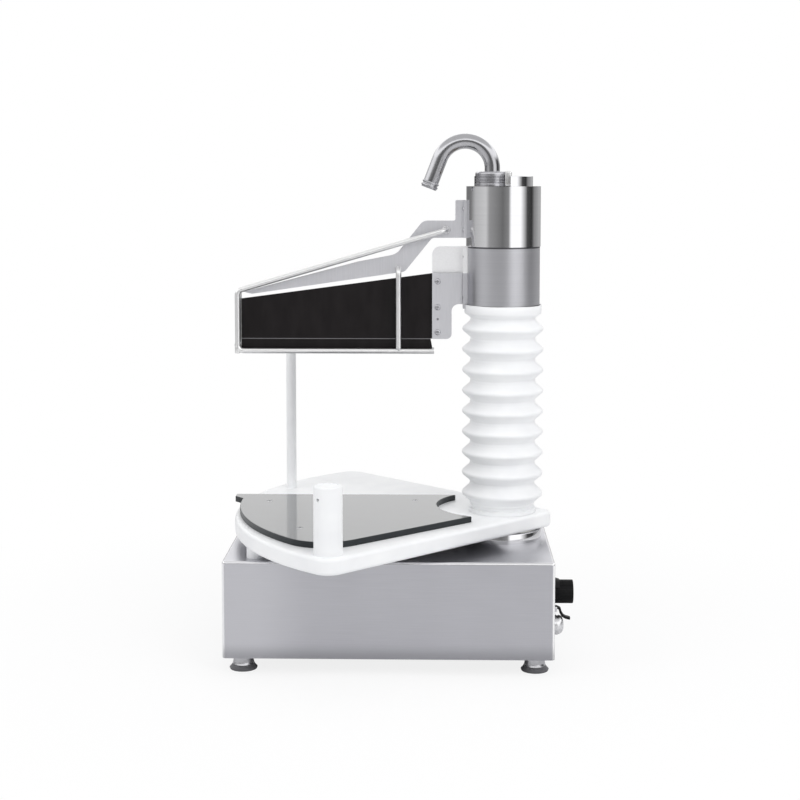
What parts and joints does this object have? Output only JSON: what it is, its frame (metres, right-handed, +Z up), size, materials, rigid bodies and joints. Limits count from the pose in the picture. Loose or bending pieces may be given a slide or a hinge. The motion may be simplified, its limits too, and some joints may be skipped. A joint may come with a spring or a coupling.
{
  "type": "counter-top cheese cutter",
  "caption": "Powered counter-top cheese cutter: steel base, swinging tray with cutting plate, bellows-clad column, guarded blade that slides down it and a swan-neck lamp.",
  "frame": {"origin": "on the surface it stands on, under the middle of the machine's bounding box", "axes": "+Z up; +Y from the front face towards the back; +X from the blade's tip towards the column and the controls"},
  "size_m": [0.5838, 0.7156, 0.882],
  "materials": {
    "brushed_stainless": "brushed",
    "satin_stainless": "satin",
    "polished_stainless": "polished",
    "stainless_rod": "satin",
    "fastener_steel": "turned",
    "white_polyethylene": "machined",
    "white_rubber": "moulded",
    "slate_plate": "glossy",
    "coated_blade": "non-stick coated",
    "black_plastic": "moulded",
    "bronze": "turned",
    "cast_alloy": "anodised",
    "slide_polymer": "turned",
    "lamp_glass": "clear"
  },
  "bodies": {
    "root": {"base_housing": "brushed_stainless", "base_floor": "brushed_stainless", "floor_screws": "fastener_steel", "adjustable_feet": "polished_stainless", "foot_lock_nuts": "fastener_steel", "column_foot": "cast_alloy", "column_foot_bolts": "fastener_steel", "column_tube": "satin_stainless", "deck_stiffener": "brushed_stainless", "column_flange": "polished_stainless", "flange_screws": "fastener_steel", "thrust_washer": "slide_polymer", "tray_stop_pin": "fastener_steel", "support_pads": "white_polyethylene", "pad_screws": "fastener_steel", "cylinder_barrel": "cast_alloy", "cylinder_caps": "cast_alloy", "bellows_ring": "white_polyethylene", "bellows": "white_rubber", "column_cap": "polished_stainless", "lamp_socket": "satin_stainless", "regulator_body": "cast_alloy", "regulator_bezel": "black_plastic", "valve_body": "polished_stainless", "lever_bracket": "fastener_steel", "lever_pin": "fastener_steel", "air_inlet": "bronze", "valve_block": "cast_alloy"},
    "tray": {"swing_tray": "white_polyethylene", "tray_bush": "slide_polymer", "cutting_plate": "slate_plate", "plate_screws": "fastener_steel", "handle_post": "white_polyethylene", "tray_bolts": "fastener_steel", "post_set_screw": "fastener_steel", "rear_rod": "white_polyethylene"},
    "head": {"blade_sleeve": "satin_stainless", "sleeve_bushes": "bronze", "sleeve_wiper": "slide_polymer", "blade_bracket": "stainless_rod", "clamp_plate": "brushed_stainless", "bracket_screws": "fastener_steel", "saddle_screws": "fastener_steel", "blade": "coated_blade", "crosshead": "satin_stainless", "crosshead_pins": "fastener_steel", "piston_rod": "polished_stainless", "piston": "cast_alloy"},
    "guard": {"guard_sleeve": "polished_stainless", "guard_bushes": "bronze", "guard_arm": "stainless_rod", "guard_arm_screws": "fastener_steel", "guard_front_rods": "stainless_rod", "guard_rear_rods": "stainless_rod"},
    "lamp": {"swan_neck": "polished_stainless", "lamp_collar": "polished_stainless", "lamp_lens": "lamp_glass"},
    "knob": {"regulator_knob": "black_plastic"},
    "lever": {"valve_lever": "black_plastic"}
  },
  "joints": [
    {"name": "tray_swing", "type": "hinge", "parent": "root", "child": "tray", "pos_m": [0.17855, 0, 0.2], "axis": [0, 0, 1], "range_deg": [-20, 20]},
    {"name": "blade_stroke", "type": "slide", "parent": "root", "child": "head", "axis": [0, 0, 1], "range_m": [-0.263, 0], "deforming": ["bellows"]},
    {"name": "guard_lift", "type": "slide", "parent": "head", "child": "guard", "axis": [0, 0, 1], "range_m": [0, 0.045]},
    {"name": "lamp_swivel", "type": "hinge", "parent": "root", "child": "lamp", "pos_m": [0.15905, -0.005, 0.8], "axis": [0, 0, 1], "range_deg": [-90, 90]},
    {"name": "regulator_turn", "type": "hinge", "parent": "root", "child": "knob", "pos_m": [0.27715, -0.115, 0.121], "axis": [1, 0, 0], "range_deg": [-150, 150]},
    {"name": "lever_lift", "type": "hinge", "parent": "root", "child": "lever", "pos_m": [0.26265, -0.115, 0.092], "axis": [0, -1, 0], "range_deg": [0, 20]}
  ]
}
